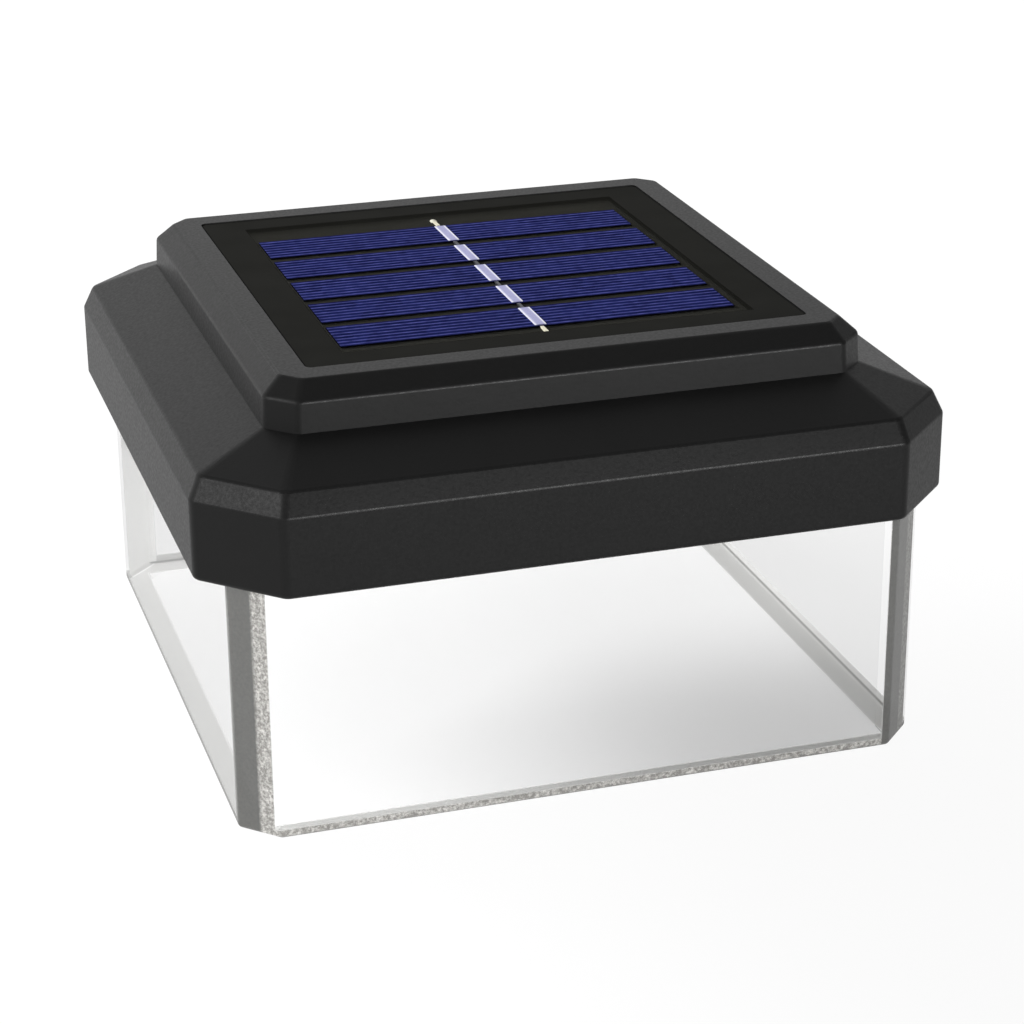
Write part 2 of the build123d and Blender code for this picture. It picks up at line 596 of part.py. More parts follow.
def make_inductor():
    at = on_board(INDUCTOR_AT)
    top = BOARD_TOP + INDUCTOR_HEIGHT
    drum = disc(INDUCTOR_RADIUS, BOARD_TOP, BOARD_TOP + INDUCTOR_FLANGE, at)
    drum += disc(INDUCTOR_RADIUS - INDUCTOR_WAIST, BOARD_TOP, top, at)
    return drum + disc(INDUCTOR_RADIUS, top - INDUCTOR_FLANGE, top, at)


def make_capacitor():
    at = on_board(CAPACITOR_AT)
    can = disc(CAPACITOR_RADIUS, BOARD_TOP, BOARD_TOP + CAPACITOR_HEIGHT, at)
    return fillet(can.faces().sort_by(Axis.Z)[-1].edges(), CAPACITOR_CRIMP)


def make_switch_body():
    length, width, height = SWITCH_SIZE
    body = plate(length, width, SWITCH_LOW, BOARD_LOW, (0, BOARD_Y))
    slot = (SLIDER_STEM[0] + SWITCH_TRAVEL + 2 * SLIDER_ROOM, SLIDER_STEM[1] + 2 * SLIDER_ROOM)
    body -= plate(*slot, SWITCH_LOW, SWITCH_LOW + SWITCH_WALL, (0, BOARD_Y))
    room = (SLIDER_CARRIAGE[0] + SWITCH_TRAVEL + 2 * SLIDER_ROOM, SLIDER_CARRIAGE[1] + 2 * SLIDER_ROOM)
    room_low = SWITCH_LOW + SWITCH_WALL
    return body - plate(*room, room_low, room_low + SLIDER_CARRIAGE[2] + 2 * SLIDER_ROOM, (0, BOARD_Y))


def make_switch_slider():
    at = (-SWITCH_TRAVEL / 2, BOARD_Y)
    low = SWITCH_LOW + SWITCH_WALL + SLIDER_ROOM
    slider = plate(SLIDER_CARRIAGE[0], SLIDER_CARRIAGE[1], low, low + SLIDER_CARRIAGE[2], at)
    return slider + plate(*SLIDER_STEM, TRAY_LOW + SLIDER_SUNK, low, at)


# Leads
def lead(name, points):
    """Insulated wire: straight runs joined by arcs."""
    path = FilletPolyline(*points, radius=LEAD_BEND)
    way = Vector(*points[1]) - Vector(*points[0])
    wire = sweep(Plane(points[0], z_dir=way) * Circle(LEAD_RADIUS), path=path)
    share = wire.volume / (pi * LEAD_RADIUS ** 2 * path.length)
    print(f"{name}: length {path.length:.1f} mm, volume against section times length {share:.4f}")
    return wire


def solar_lead(side):
    x = side * SOLAR_LEAD_X
    landing = (x - SOLAR_LEAD_SHIFT[0], BOARD_Y - SOLAR_LEAD_SHIFT[1])
    return [(x, BOARD_Y, PANEL_LOW), (x, BOARD_Y, FLOOR_LOW - SOLAR_LEAD_DROP),
            (*landing, BOARD_TOP + LEAD_RISE), (*landing, BOARD_TOP)]


def battery_lead(side):
    lead_z = BAY_TOP + LEAD_RADIUS + BATTERY_LEAD_LIFT
    x = side * BATTERY_LEAD_X
    landing = (x, BOARD_Y - BATTERY_LEAD_FRONT)
    return [(side * PLUS_FACE, 0, lead_z), (side * (PLUS_FACE - BATTERY_LEAD_RUN), 0, lead_z),
            (x, BAY_HALF_WIDTH + BATTERY_LEAD_OUT, lead_z), (*landing, BOARD_TOP + LEAD_RISE),
            (*landing, BOARD_TOP)]


def led_lead(x):
    far_y = FLANGE_OPENING + LED_BOARD_INSET + LED_LEAD_REACH
    near_y = BOARD_Y + BOARD_WIDTH / 2 - LED_LEAD_INSET
    near_rise, middle_rise, far_rise = LED_LEAD_RISES
    return [(x, near_y, BOARD_TOP), (x, near_y, BOARD_TOP + near_rise),
            (x, (near_y + far_y) / 2, BOARD_TOP + middle_rise),
            (x, far_y, LED_BOARD_TOP + far_rise), (x, far_y, LED_BOARD_TOP)]


def main():
    os.makedirs("parts", exist_ok=True)
    nodes = {
        "top_cap": make_top_cap(),
        "panel_seal": make_panel_seal(),
        "panel_board": make_panel_board(),
        "cell_busbars": make_cell_busbars(),
        "cell_ribbons": make_cell_ribbons(),
        "panel_cover": make_panel_cover(),
        "skirt": make_skirt(),
        "led_board": make_led_board(),
        "side_leds": make_side_leds(),
        "base_tray": make_base_tray(),
        "tray_gasket": make_tray_gasket(),
        "tray_screws": make_tray_screws(),
        "post_pads": make_post_pads(),
        "battery_cell": make_battery_cell(),
        "battery_sleeve": make_battery_sleeve(),
        "battery_spring": make_battery_spring(),
        "contact_plus": make_contact(1),
        "contact_minus": make_contact(-1),
        "battery_door": make_battery_door(),
        "driver_board": make_driver_board(),
        "board_screws": make_board_screws(),
        "driver_chip": make_driver_chip(),
        "inductor": make_inductor(),
        "capacitor": make_capacitor(),
        "switch_body": make_switch_body(),
        "switch_slider": make_switch_slider(),
        "solar_lead_red": lead("solar_lead_red", solar_lead(1)),
        "solar_lead_black": lead("solar_lead_black", solar_lead(-1)),
        "battery_lead_red": lead("battery_lead_red", battery_lead(1)),
        "battery_lead_black": lead("battery_lead_black", battery_lead(-1)),
        "led_lead_red": lead("led_lead_red", led_lead(-LED_LEAD_X)),
        "led_lead_black": lead("led_lead_black", led_lead(-LED_LEAD_X - LED_LEAD_PITCH)),
    }
    for i in range(CELL_COUNT):
        nodes[f"solar_cell_{i + 1}"] = make_solar_cell(i)
    for name, shape in nodes.items():
        export_step(shape, f"parts/{name}.step")


main()
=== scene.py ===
import math

import bmesh
import bpy
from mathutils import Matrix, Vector


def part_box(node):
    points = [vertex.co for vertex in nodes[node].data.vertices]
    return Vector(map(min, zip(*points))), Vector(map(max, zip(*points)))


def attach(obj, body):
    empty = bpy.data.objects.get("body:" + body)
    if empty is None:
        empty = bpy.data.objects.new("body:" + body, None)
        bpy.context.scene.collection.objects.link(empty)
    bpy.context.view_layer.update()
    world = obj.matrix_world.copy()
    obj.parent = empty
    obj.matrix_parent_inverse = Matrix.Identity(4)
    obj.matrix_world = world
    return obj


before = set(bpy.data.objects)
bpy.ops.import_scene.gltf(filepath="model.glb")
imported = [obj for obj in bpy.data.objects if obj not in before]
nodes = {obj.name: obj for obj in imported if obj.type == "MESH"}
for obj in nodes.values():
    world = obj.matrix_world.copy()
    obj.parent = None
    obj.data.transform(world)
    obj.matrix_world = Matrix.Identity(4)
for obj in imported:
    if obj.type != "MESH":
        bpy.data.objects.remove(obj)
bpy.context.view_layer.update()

MM = 0.001

# Sizes that the finishes line up with, in millimetres
SKIRT_CORNER = 5.0       # leg of the skirt's 45 degree corners
FROST_WRAP = 1.1         # how far a corner's frosting goes on along the wall beside it
FROST_END = 3.6          # where the frosting stops at its other end, from the middle of the corner
COARSE_FROM = 0.3        # where its coarse-blasted strip starts
RIM_FROST = 1.4          # height of the ground bottom rim on the outside
RIM_LINE = 0.35          # width of the painted dark line along its outer edge
FINGER_LINES = 7         # printed lines on each cell strip
BUSBAR_HALF = 0.85       # half the width of a busbar
TAB_FROM = 26.9          # where the end tabs of the ribbons start, from the middle of the panel
SOLDER_WIDTH = 1.1       # a drop of solder on the end of a tab
SOLDER_LENGTH = 1.7
SOLDER_SETBACK = 0.3     # its middle, inwards from the tab's end
SOLDER_SIDES = 24        # corners of each ring of its mesh
WINDOW_X = 30.4          # half the clear window in the panel's printed border
WINDOW_Y = 31.6

# Camera, from the photograph: place, aim and roll, and a lens that fills the frame with this one light
CAMERA_AT = Vector((-112.0, -375.1, 183.4)) * MM
CAMERA_AIM = Vector((2.5, -3.6, 24.5)) * MM
CAMERA_ROLL = math.radians(-0.43)
CAMERA_LENS = 95.0
SENSOR = 36.0

# Floor: how much of it is plain white to the camera, to rays through the skirt and to mirror rays
FLOOR_HALF = 3.0         # metres
FLOOR_DROP = 0.2         # millimetres below the rim
SEEN_WHITE = 0.92
OUTSIDE_WHITE = 0.75     # through the skirt, beyond its walls
INSIDE_WHITE = 0.1       # through the skirt, within its walls: less glow there, a painted shade under the cap
# to mirror rays the floor glows less and is painted grey: a painted dimming of reflections
MIRROR_WHITE = 0.5

# Lamps: name, place and size in metres, watts, and whether polished faces mirror it
LAMPS = (
    ("key_back_left", (-0.58, 0.83, 0.40), (0.60, 0.20), 29.5, False),
    ("fill_left", (-0.86, -0.30, 0.42), (0.45, 0.30), 2.0, True),
    ("strip_front", (0.30, -1.00, 0.15), (0.50, 0.16), 5.0, True),
)


def linear(hex_colour):
    """sRGB hex value as a linear RGBA colour."""
    values = [int(hex_colour[i:i + 2], 16) / 255 for i in (1, 3, 5)]
    return [v / 12.92 if v <= 0.04045 else ((v + 0.055) / 1.055) ** 2.4 for v in values] + [1.0]


def per_size(millimetres):
    """Texture scale whose features are about this large."""
    return 1.0 / (millimetres * MM)


def join(tree, node, inputs):
    """Sets a node's inputs; each is a value, a socket, or a node whose first output is linked."""
    for name, value in inputs.items():
        if isinstance(value, bpy.types.Node):
            value = next(s for s in value.outputs if s.enabled)
        if isinstance(value, bpy.types.NodeSocket):
            tree.links.new(value, node.inputs[name])
        else:
            node.inputs[name].default_value = value


def add(tree, kind, inputs=None, **settings):
    """Adds a node with its settings and inputs."""
    made = tree.nodes.new(kind)
    for name, value in settings.items():
        setattr(made, name, value)
    join(tree, made, inputs or {})
    return made


def new_finish(name, **sockets):
    """Material with a principled shader; sockets holds the values that are the same all over."""
    material = bpy.data.materials.new(name)
    material.use_nodes = True
    tree = material.node_tree
    shader = tree.nodes["Principled BSDF"]
    join(tree, shader, {socket.replace("_", " "): value for socket, value in sockets.items()})
    place = add(tree, "ShaderNodeTexCoord").outputs["Object"]
    return material, tree, shader, place


def let_lamps_through(tree, shader, colour):
    """Lamp light passes this clear piece with its tint, so that what is behind it isn't in the dark."""
    path = add(tree, "ShaderNodeLightPath")
    passed = add(tree, "ShaderNodeBsdfTransparent", {"Color": linear(colour)})
    both = add(tree, "ShaderNodeMixShader", {0: path.outputs["Is Shadow Ray"], 1: shader, 2: passed})
    join(tree, tree.nodes["Material Output"], {"Surface": both})


def grained_finish(name, dark, light, roughness, grain, depth, patch=12.0, **sockets):
    """Fine-grained solid: colour drifts over patches, gloss and relief over grains, in millimetres."""
    material, tree, shader, place = new_finish(name, **sockets)
    drift = add(tree, "ShaderNodeTexNoise", {"Vector": place, "Scale": per_size(patch), "Detail": 3.0})
    fine = add(tree, "ShaderNodeTexNoise", {"Vector": place, "Scale": per_size(grain), "Detail": 2.0})
    both = add(tree, "ShaderNodeMath", {0: drift, 1: fine, 2: 0.2}, operation="MULTIPLY_ADD")
    tone = add(tree, "ShaderNodeMix", {"Factor": both, "A": linear(dark), "B": linear(light)},
               data_type="RGBA")
    gloss = add(tree, "ShaderNodeMapRange", {"Value": fine, "From Min": 0.3, "From Max": 0.7,
                                             "To Min": roughness[0], "To Max": roughness[1]})
    relief = add(tree, "ShaderNodeBump", {"Height": fine, "Strength": 1.0, "Distance": depth * MM})
    join(tree, shader, {"Base Color": tone, "Roughness": gloss, "Normal": relief})
    return material


def moulded_acrylic():
    """Clear polished walls; the corners are satin, two with a coarse strip, and the bottom rim is ground."""
    # The walls don't bend what is seen through them, and their polish is a coat
    material, tree, shader, place = new_finish("moulded_acrylic_clear", IOR=1.0, Coat_IOR=1.49)
    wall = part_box("skirt")[1][0]
    axes = add(tree, "ShaderNodeSeparateXYZ", {"Vector": place})
    across = add(tree, "ShaderNodeMath", {0: axes.outputs["X"]}, operation="ABSOLUTE")
    along = add(tree, "ShaderNodeMath", {0: axes.outputs["Y"]}, operation="ABSOLUTE")

    # The 45 degree faces, where the two distances from the middle add up to the most
    reach = add(tree, "ShaderNodeMath", {0: across, 1: along}, operation="ADD")
    edge = 2 * wall - SKIRT_CORNER * MM
    near = add(tree, "ShaderNodeMapRange", {"Value": reach, "From Min": edge - (FROST_WRAP + 0.1) * MM,
                                            "From Max": edge - (FROST_WRAP - 0.1) * MM})
    # Masked off going round, so that the frosting sits the same way on all four corners
    quarter = add(tree, "ShaderNodeMath", {0: axes.outputs["X"], 1: axes.outputs["Y"]}, operation="MULTIPLY")
    turn = add(tree, "ShaderNodeMath", {0: quarter}, operation="SIGN")
    lean = add(tree, "ShaderNodeMath", {0: along, 1: across}, operation="SUBTRACT")
    slant = add(tree, "ShaderNodeMath", {0: lean, 1: turn}, operation="MULTIPLY")
    masked = add(tree, "ShaderNodeMapRange", {"Value": slant, "From Min": (FROST_END + 0.1) * MM,
                                              "From Max": (FROST_END - 0.1) * MM})
    corner = add(tree, "ShaderNodeMath", {0: near, 1: masked}, operation="MULTIPLY")
    # The strip is coarse on two opposite corners, and only a little paler than the satin on the other two
    grade = add(tree, "ShaderNodeMapRange", {"Value": turn, "From Min": -1.0, "To Min": 0.25})
    ramp = add(tree, "ShaderNodeMapRange", {"Value": slant, "From Min": (COARSE_FROM - 0.4) * MM,
                                            "From Max": (COARSE_FROM + 0.4) * MM})
    strip = add(tree, "ShaderNodeMath", {0: ramp, 1: grade}, operation="MULTIPLY")
    # The rim, which is ground over its bottom and a little way up the outside
    outer = add(tree, "ShaderNodeMath", {0: across, 1: along}, operation="MAXIMUM")
    depth = add(tree, "ShaderNodeMath", {0: wall, 1: outer}, operation="SUBTRACT")
    height = add(tree, "ShaderNodeMath", {0: depth, 1: 0.35, 2: axes.outputs["Z"]}, operation="MULTIPLY_ADD")
    rim = add(tree, "ShaderNodeMapRange", {"Value": height, "From Min": (RIM_FROST + 0.1) * MM,
                                           "From Max": (RIM_FROST - 0.1) * MM})
    # Its outer edge shows as a thin grey line: a painted dark edge, standing in for the dark rim that
    # refraction gives a clear wall
    low = add(tree, "ShaderNodeMath", {0: depth, 1: axes.outputs["Z"]}, operation="MAXIMUM")
    line = add(tree, "ShaderNodeMapRange", {"Value": low, "From Min": (RIM_LINE + 0.1) * MM,
                                            "From Max": (RIM_LINE - 0.1) * MM})
    front = add(tree, "ShaderNodeMapRange", {"Value": lean, "From Min": -0.1 * MM, "From Max": 0.1 * MM})
    frost = add(tree, "ShaderNodeMath", {0: corner, 1: rim}, operation="MAXIMUM")
    coarse = add(tree, "ShaderNodeMix", {"Factor": corner, "A": front, "B": strip})

    # Real grains are about 0.2 mm across; they are drawn larger, so that they show from here
    grit = add(tree, "ShaderNodeTexNoise", {"Vector": place, "Scale": per_size(0.5), "Detail": 4.0,
                                            "Roughness": 0.75})
    speck = add(tree, "ShaderNodeMapRange", {"Value": grit, "From Min": 0.42, "From Max": 0.66})
    satin = add(tree, "ShaderNodeMix", {"Factor": grit, "A": linear("#545452"), "B": linear("#70706e")},
                data_type="RGBA")
    grains = add(tree, "ShaderNodeMix", {"Factor": speck, "A": linear("#8a8884"), "B": linear("#e2e0dc")},
                 data_type="RGBA")
    blasted = add(tree, "ShaderNodeMix", {"Factor": coarse, "A": satin, "B": grains}, data_type="RGBA")
    # Seen from inside the wall, the frost is painted pale: painted light, standing in for light coming
    # through it from behind
    inside = add(tree, "ShaderNodeNewGeometry").outputs["Backfacing"]
    # Painted light: the pale tones that the frost is given when it is seen from inside
    pale = add(tree, "ShaderNodeMix", {"Factor": corner, "A": linear("#cacac8"), "B": linear("#f6f6f4")},
               data_type="RGBA")
    frost_and_painted_backlight = add(tree, "ShaderNodeMix", {"Factor": inside, "A": blasted, "B": pale}, data_type="RGBA")
    # The painted dark edge line goes over the frost's tone
    lined = add(tree, "ShaderNodeMix", {"Factor": line, "A": frost_and_painted_backlight, "B": linear("#7c7c7a")},
                data_type="RGBA")
    tone = add(tree, "ShaderNodeMix", {"Factor": frost, "A": linear("#fafafa"), "B": lined}, data_type="RGBA")
    gloss = add(tree, "ShaderNodeMapRange", {"Value": frost, "To Min": 0.0, "To Max": 0.5})
    clear = add(tree, "ShaderNodeMapRange", {"Value": frost, "To Min": 1.0, "To Max": 0.1})
    bumps = add(tree, "ShaderNodeMath", {0: frost, 1: coarse}, operation="MULTIPLY")
    rough = add(tree, "ShaderNodeMath", {0: bumps, 1: speck}, operation="MULTIPLY")
    relief = add(tree, "ShaderNodeBump", {"Height": rough, "Strength": 0.7, "Distance": 0.1 * MM})
    # The polish is on the outside of the faces only, so a wall holds no second image of its own rim
    polish = add(tree, "ShaderNodeMath", {0: 1.0, 1: inside}, operation="SUBTRACT")
    join(tree, shader, {"Base Color": tone, "Roughness": gloss, "Transmission Weight": clear,
                        "Normal": relief, "Coat Weight": polish})
    let_lamps_through(tree, shader, "#f6f6f6")
    return material


def cast_silicon():
    """Crystals in near blues from the anti-reflection coat, printed finger lines and dark cut edges."""
    material, tree, shader, place = new_finish("cast_silicon_blue", Roughness=0.4, Specular_IOR_Level=0.0)
    crystals = add(tree, "ShaderNodeTexVoronoi", {"Vector": place, "Scale": per_size(3.5)})
    facet = add(tree, "ShaderNodeSeparateColor", {"Color": crystals.outputs["Color"]})
    grain = add(tree, "ShaderNodeTexNoise", {"Vector": place, "Scale": per_size(0.6), "Detail": 3.0})
    tint = add(tree, "ShaderNodeMath", {0: facet, 1: 0.7, 2: -0.1}, operation="MULTIPLY_ADD")
    shade = add(tree, "ShaderNodeMath", {0: grain, 1: 0.4, 2: tint}, operation="MULTIPLY_ADD")
    blue = add(tree, "ShaderNodeMix", {"Factor": shade, "A": linear("#11143a"), "B": linear("#1b2050")},
               data_type="RGBA")
    strip = add(tree, "ShaderNodeTexCoord").outputs["Generated"]
    share = add(tree, "ShaderNodeSeparateXYZ", {"Vector": strip})
    # Real finger lines are about 0.1 mm wide; they are drawn wider, so that they show from here
    lines = add(tree, "ShaderNodeMath", {0: share.outputs["Y"], 1: 2.0 * FINGER_LINES}, operation="MULTIPLY")
    phase = add(tree, "ShaderNodeMath", {0: lines, 1: 1.0}, operation="PINGPONG")
    line = add(tree, "ShaderNodeMapRange", {"Value": phase, "From Min": 0.55, "From Max": 0.85})
    worn = add(tree, "ShaderNodeTexNoise", {"Vector": place, "Scale": per_size(1.6), "Detail": 2.0})
    ink = add(tree, "ShaderNodeMapRange", {"Value": worn, "From Min": 0.3, "From Max": 0.7,
                                           "To Min": 0.35, "To Max": 1.0})
    printed = add(tree, "ShaderNodeMath", {0: line, 1: ink}, operation="MULTIPLY")
    face = add(tree, "ShaderNodeMix", {"Factor": printed, "A": blue, "B": linear("#4b4f90")},
               data_type="RGBA")
    normal = add(tree, "ShaderNodeNewGeometry").outputs["Normal"]
    facing = add(tree, "ShaderNodeSeparateXYZ", {"Vector": normal})
    top = add(tree, "ShaderNodeMapRange", {"Value": facing.outputs["Z"], "From Min": 0.3, "From Max": 0.7})
    tone = add(tree, "ShaderNodeMix", {"Factor": top, "A": linear("#0c0c10"), "B": face}, data_type="RGBA")
    join(tree, shader, {"Base Color": tone})
    return material


def tinned_busbar():
    """Printed silver bar, tinned: pale, slightly blue, and brighter along both edges."""
    material, tree, shader, place = new_finish("tinned_silver_print", Roughness=0.4)
    axes = add(tree, "ShaderNodeSeparateXYZ", {"Vector": place})
    side = add(tree, "ShaderNodeMath", {0: axes.outputs["X"]}, operation="ABSOLUTE")
    edge = add(tree, "ShaderNodeMapRange", {"Value": side, "From Min": (BUSBAR_HALF - 0.40) * MM,
                                            "From Max": (BUSBAR_HALF - 0.15) * MM})
    ripple = add(tree, "ShaderNodeTexNoise", {"Vector": place, "Scale": per_size(0.5), "Detail": 2.0})
    body = add(tree, "ShaderNodeMix", {"Factor": ripple, "A": linear("#8585b4"), "B": linear("#a0a0ca")},
               data_type="RGBA")
    tone = add(tree, "ShaderNodeMix", {"Factor": edge, "A": body, "B": linear("#d8d8ea")}, data_type="RGBA")
    join(tree, shader, {"Base Color": tone})
    return material


def solder_coated_ribbon():
    """Brass ribbon: bright where it comes out as an end tab, under dark lacquer between the strips."""
    material, tree, shader, place = new_finish("solder_coated_ribbon", Roughness=0.4)
    axes = add(tree, "ShaderNodeSeparateXYZ", {"Vector": place})
    far = add(tree, "ShaderNodeMath", {0: axes.outputs["Y"]}, operation="ABSOLUTE")
    tab = add(tree, "ShaderNodeMapRange", {"Value": far, "From Min": (TAB_FROM - 0.2) * MM,
                                           "From Max": (TAB_FROM + 0.2) * MM})
    ripple = add(tree, "ShaderNodeTexNoise", {"Vector": place, "Scale": per_size(0.4), "Detail": 2.0})
    lacquered = add(tree, "ShaderNodeMix", {"Factor": ripple, "A": linear("#1f2024"), "B": linear("#3a3b42")},
                    data_type="RGBA")
    bright = add(tree, "ShaderNodeMix", {"Factor": ripple, "A": linear("#b9b4a0"), "B": linear("#ece8d8")},
                 data_type="RGBA")
    tone = add(tree, "ShaderNodeMix", {"Factor": tab, "A": lacquered, "B": bright}, data_type="RGBA")
    join(tree, shader, {"Base Color": tone})
    return material


def cast_resin_cover():
    """Clear cast resin with an anti-glare face and a black printed border; the cells show through it."""
    material, tree, shader, place = new_finish("cast_resin_clear", IOR=1.0, Coat_Roughness=0.3)
    axes = add(tree, "ShaderNodeSeparateXYZ", {"Vector": place})
    across = add(tree, "ShaderNodeMath", {0: axes.outputs["X"]}, operation="ABSOLUTE")
    along = add(tree, "ShaderNodeMath", {0: axes.outputs["Y"]}, operation="ABSOLUTE")
    beyond = add(tree, "ShaderNodeMath", {0: across, 1: (WINDOW_Y - WINDOW_X) * MM}, operation="ADD")
    far = add(tree, "ShaderNodeMath", {0: beyond, 1: along}, operation="MAXIMUM")
    window = add(tree, "ShaderNodeMapRange", {"Value": far, "From Min": (WINDOW_Y + 0.05) * MM,
                                              "From Max": WINDOW_Y * MM})
    bare = add(tree, "ShaderNodeMapRange", {"Value": far, "From Min": WINDOW_Y * MM,
                                            "From Max": (WINDOW_Y - 0.05) * MM})
    flow = add(tree, "ShaderNodeTexNoise", {"Vector": place, "Scale": per_size(9.0), "Detail": 2.0})
    ink = add(tree, "ShaderNodeMix", {"Factor": flow, "A": linear("#181816"), "B": linear("#20201e")},
              data_type="RGBA")
    tone = add(tree, "ShaderNodeMix", {"Factor": bare, "A": ink, "B": linear("#fdfdfb")}, data_type="RGBA")
    gloss = add(tree, "ShaderNodeMapRange", {"Value": window, "To Min": 0.35, "To Max": 0.0})
    sheen = add(tree, "ShaderNodeMapRange", {"Value": window, "To Min": 0.05, "To Max": 0.0})
    join(tree, shader, {"Base Color": tone, "Roughness": gloss, "Transmission Weight": window,
                        "Coat Weight": sheen})
    let_lamps_through(tree, shader, "#f6f6f4")
    return material


# One finish for each real material, and the nodes that are made of it. Where a real grain is finer
# than about 0.2 mm, as the spark texture of the cap is, it is drawn coarser, so that it shows from here.
abs_black = grained_finish("moulded_abs_spark_textured", "#0f0f0f", "#181818", (0.32, 0.44), 0.45, 0.008,
                           Specular_IOR_Level=0.25)
finishes = {
    abs_black: ["top_cap", "base_tray", "battery_door"],
    moulded_acrylic(): ["skirt"],
    cast_resin_cover(): ["panel_cover"],
    cast_silicon(): [f"solar_cell_{i}" for i in range(1, 6)],
    tinned_busbar(): ["cell_busbars"],
    solder_coated_ribbon(): ["cell_ribbons"],
    grained_finish("lacquered_laminate_black", "#242422", "#30302e", (0.5, 0.6), 0.3, 0.002,
                   Specular_IOR_Level=0.0): ["panel_board"],
    grained_finish("closed_cell_foam", "#2c2c2e", "#4a4a4d", (0.85, 0.95), 0.4, 0.1):
        ["panel_seal", "post_pads"],
    grained_finish("cut_silicone_sheet", "#54565a", "#6a6c70", (0.5, 0.65), 0.8, 0.02): ["tray_gasket"],
    grained_finish("stainless_steel_rolled", "#9c9c9c", "#c6c6c6", (0.22, 0.38), 0.25, 0.004, Metallic=1.0):
        ["tray_screws", "board_screws"],
    grained_finish("nickel_plated_steel", "#b3b0a8", "#d4d1c8", (0.16, 0.28), 0.3, 0.002, Metallic=1.0):
        ["battery_cell", "battery_spring", "contact_plus", "contact_minus", "switch_body"],
    grained_finish("shrunk_film_green", "#12573a", "#1c7a50", (0.2, 0.32), 3.0, 0.008): ["battery_sleeve"],
    grained_finish("solder_resist_green", "#0f4a22", "#1a6a32", (0.28, 0.42), 0.6, 0.006): ["driver_board"],
    grained_finish("solder_resist_white", "#d9d9d3", "#efefea", (0.35, 0.5), 0.6, 0.006): ["led_board"],
    grained_finish("moulded_epoxy_black", "#161616", "#242424", (0.55, 0.7), 0.15, 0.006): ["driver_chip"],
    grained_finish("sintered_ferrite", "#1f1f20", "#343436", (0.5, 0.7), 0.2, 0.01): ["inductor"],
    grained_finish("drawn_aluminium", "#a9abae", "#cfd1d4", (0.2, 0.34), 0.3, 0.003, Metallic=1.0):
        ["capacitor"],
    grained_finish("moulded_nylon_white", "#c9c7bf", "#dedcd4", (0.45, 0.6), 0.4, 0.01): ["switch_slider"],
    grained_finish("phosphor_resin", "#d9b23a", "#efd169", (0.25, 0.4), 0.3, 0.01): ["side_leds"],
    grained_finish("extruded_pvc_red", "#8f1512", "#b51f1a", (0.35, 0.5), 0.5, 0.006):
        ["solar_lead_red", "battery_lead_red", "led_lead_red"],
    grained_finish("extruded_pvc_black", "#141414", "#202020", (0.35, 0.5), 0.5, 0.006):
        ["solar_lead_black", "battery_lead_black", "led_lead_black"],
}
for finish, names in finishes.items():
    for name in names:
        nodes[name].data.materials.clear()
        nodes[name].data.materials.append(finish)


def solder_tabs(finish):
    """Drops of solder on the outer ends of the two end tabs, each a little drawn out along the tab."""
    low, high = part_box("cell_ribbons")
    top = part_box("cell_busbars")[1][2]
    # Rings from the foot up: share of the width, share of the height
    profile = ((1.00, 0.0), (0.93, 0.35), (0.72, 0.7), (0.38, 0.94))
    for name, end, outward in (("solder_drop_back", high.y, 1), ("solder_drop_front", low.y, -1)):
        middle = end - outward * SOLDER_SETBACK * MM
        shape = bmesh.new()
        rings = []
        for spread, rise in profile:
            ring = []
            for step in range(SOLDER_SIDES):
                angle = math.tau * step / SOLDER_SIDES
                wave = 1.0 + 0.06 * math.sin(3 * angle + outward)
                x = SOLDER_WIDTH / 2 * MM * spread * wave * math.cos(angle)
                y = middle + SOLDER_LENGTH / 2 * MM * spread * wave * math.sin(angle)
                ring.append(shape.verts.new((x, y, low.z + (top - low.z) * rise)))
            rings.append(ring)
        peak = shape.verts.new((0.0, middle, top))
        turns = [(i, (i + 1) % SOLDER_SIDES) for i in range(SOLDER_SIDES)]
        for lower, upper in zip(rings, rings[1:]):
            for i, j in turns:
                shape.faces.new((lower[i], lower[j], upper[j], upper[i]))
        for i, j in turns:
            shape.faces.new((rings[-1][i], rings[-1][j], peak))
        shape.faces.new(list(reversed(rings[0])))
        for face in shape.faces:
            face.smooth = True
        mesh = bpy.data.meshes.new(name)
        shape.to_mesh(mesh)
        shape.free()
        mesh.materials.append(finish)
        drop = bpy.data.objects.new(name, mesh)
        bpy.context.scene.collection.objects.link(drop)
        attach(drop, "housing")


solder_tabs(grained_finish("reflowed_solder", "#b4b2a6", "#efece0", (0.25, 0.4), 0.4, 0.01))


